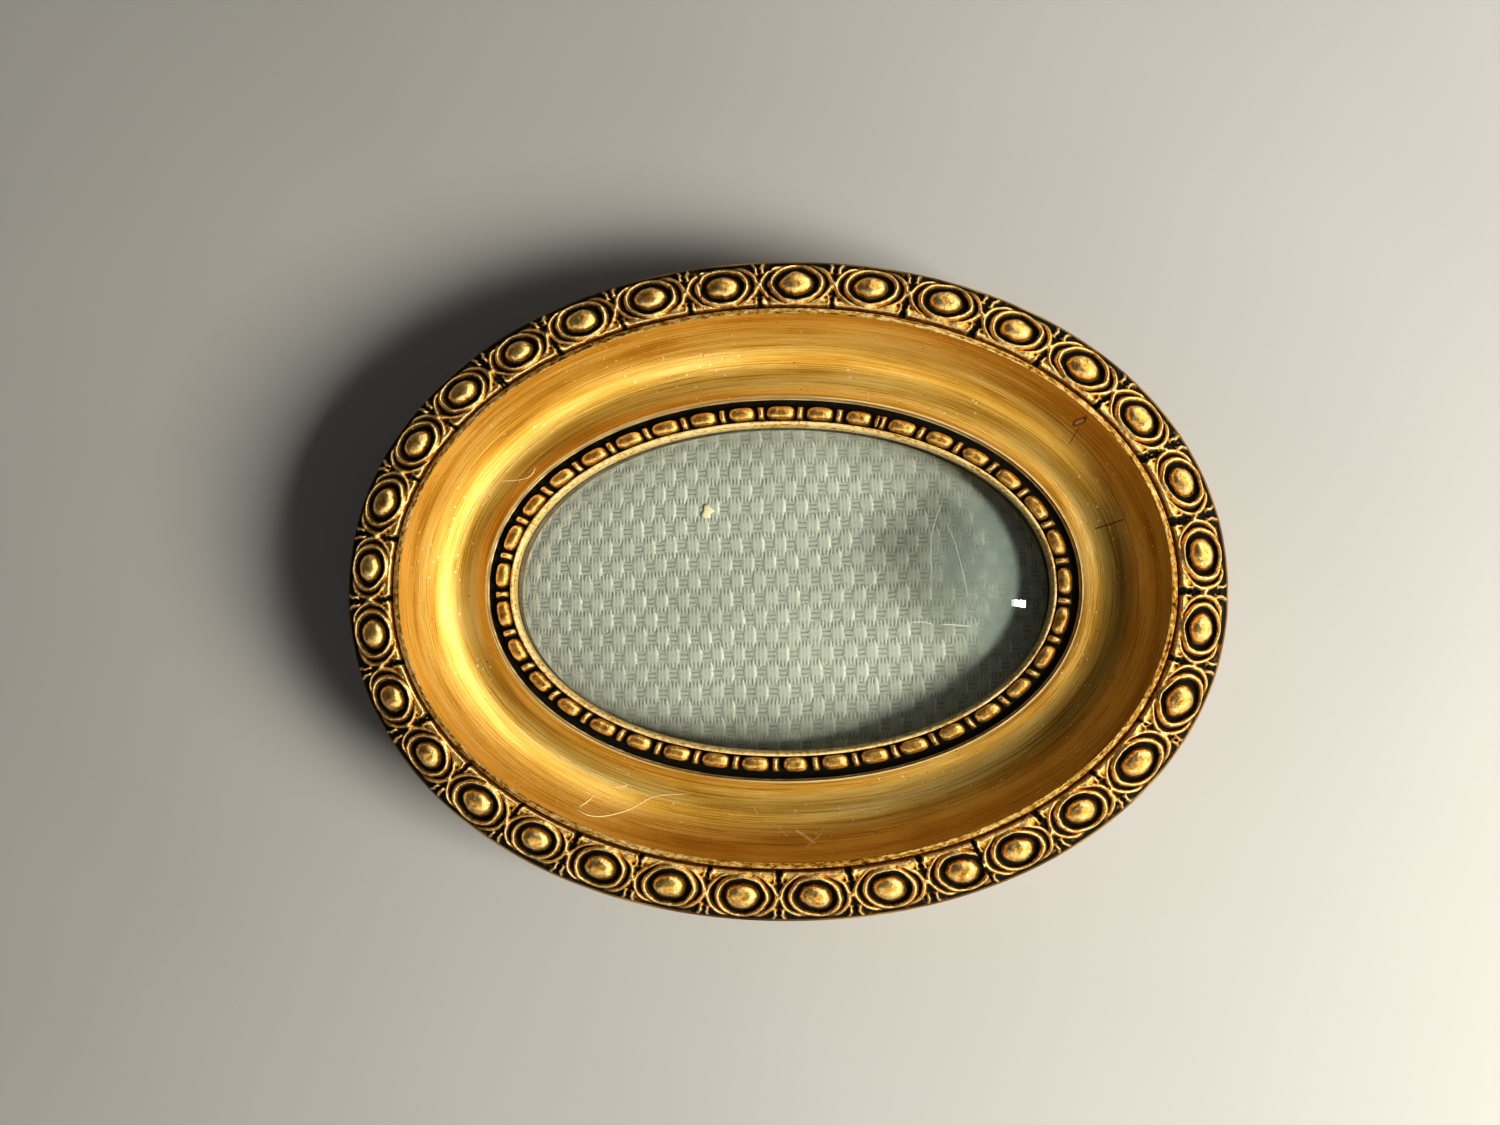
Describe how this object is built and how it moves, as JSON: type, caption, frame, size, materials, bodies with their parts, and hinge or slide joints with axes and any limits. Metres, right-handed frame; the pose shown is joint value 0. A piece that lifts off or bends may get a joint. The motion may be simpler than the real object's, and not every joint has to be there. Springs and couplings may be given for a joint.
{
  "type": "oval display frame",
  "caption": "Oval gilt shadow-box frame with egg-and-dart rim, deep cove, beaded lip, domed glass, basket-weave mount, back held by turn buttons, and a hanging ring.",
  "frame": {"origin": "centre of the oval on the flat back, where the frame rests when it lies face up", "axes": "+X along the oval's long axis, +Y towards the hanging ring (up on the wall), +Z out of the glazed front"},
  "size_m": [0.204, 0.153, 0.0326],
  "materials": {
    "gilt_moulding": "turned wood, gessoed and gilt with metal leaf, toned and worn; bare stained wood at the back",
    "gilt_ornament": "cast composition ornament (glue, resin and whiting), gilt, with black patina in the hollows",
    "clear_glass": "clear, slightly dusty and scratched",
    "black_card": "matte black card",
    "basket_cloth": "grey-green basket weave",
    "mount_card": "grey-buff pulp board",
    "hardboard": "brown tempered hardboard",
    "button_brass": "aged brass plate",
    "screw_steel": "plain steel screw, slightly tarnished"
  },
  "bodies": {
    "frame": {"frame_core": "gilt_moulding", "egg_strip_right": "gilt_ornament", "egg_strip_left": "gilt_ornament", "bead_strip": "gilt_ornament", "domed_glass": "clear_glass", "spacer_ring": "black_card", "basket_weave": "basket_cloth", "mount_board": "mount_card", "back_board": "hardboard", "turn_button_screw_1": "screw_steel", "turn_button_screw_2": "screw_steel", "turn_button_screw_3": "screw_steel", "turn_button_screw_4": "screw_steel", "hanger_strap": "button_brass", "hanger_screw_1": "screw_steel", "hanger_screw_2": "screw_steel"},
    "button_1": {"turn_button_1": "button_brass"},
    "button_2": {"turn_button_2": "button_brass"},
    "button_3": {"turn_button_3": "button_brass"},
    "button_4": {"turn_button_4": "button_brass"},
    "ring": {"hanger_ring": "button_brass"}
  },
  "joints": [
    {"name": "turn_button_1_swing", "type": "hinge", "parent": "frame", "child": "button_1", "pos_m": [0.05845, 0.03191, 0.002], "axis": [0, 0, 1], "range_deg": [-90, 90]},
    {"name": "turn_button_2_swing", "type": "hinge", "parent": "frame", "child": "button_2", "pos_m": [-0.05845, 0.03191, 0.002], "axis": [0, 0, 1], "range_deg": [-90, 90]},
    {"name": "turn_button_3_swing", "type": "hinge", "parent": "frame", "child": "button_3", "pos_m": [-0.05845, -0.03191, 0.002], "axis": [0, 0, 1], "range_deg": [-90, 90]},
    {"name": "turn_button_4_swing", "type": "hinge", "parent": "frame", "child": "button_4", "pos_m": [0.05845, -0.03191, 0.002], "axis": [0, 0, 1], "range_deg": [-90, 90]},
    {"name": "hanger_ring_swing", "type": "hinge", "parent": "frame", "child": "ring", "pos_m": [0, 0.0471, 0.0014], "axis": [1, 0, 0], "range_deg": [0, 150]}
  ]
}
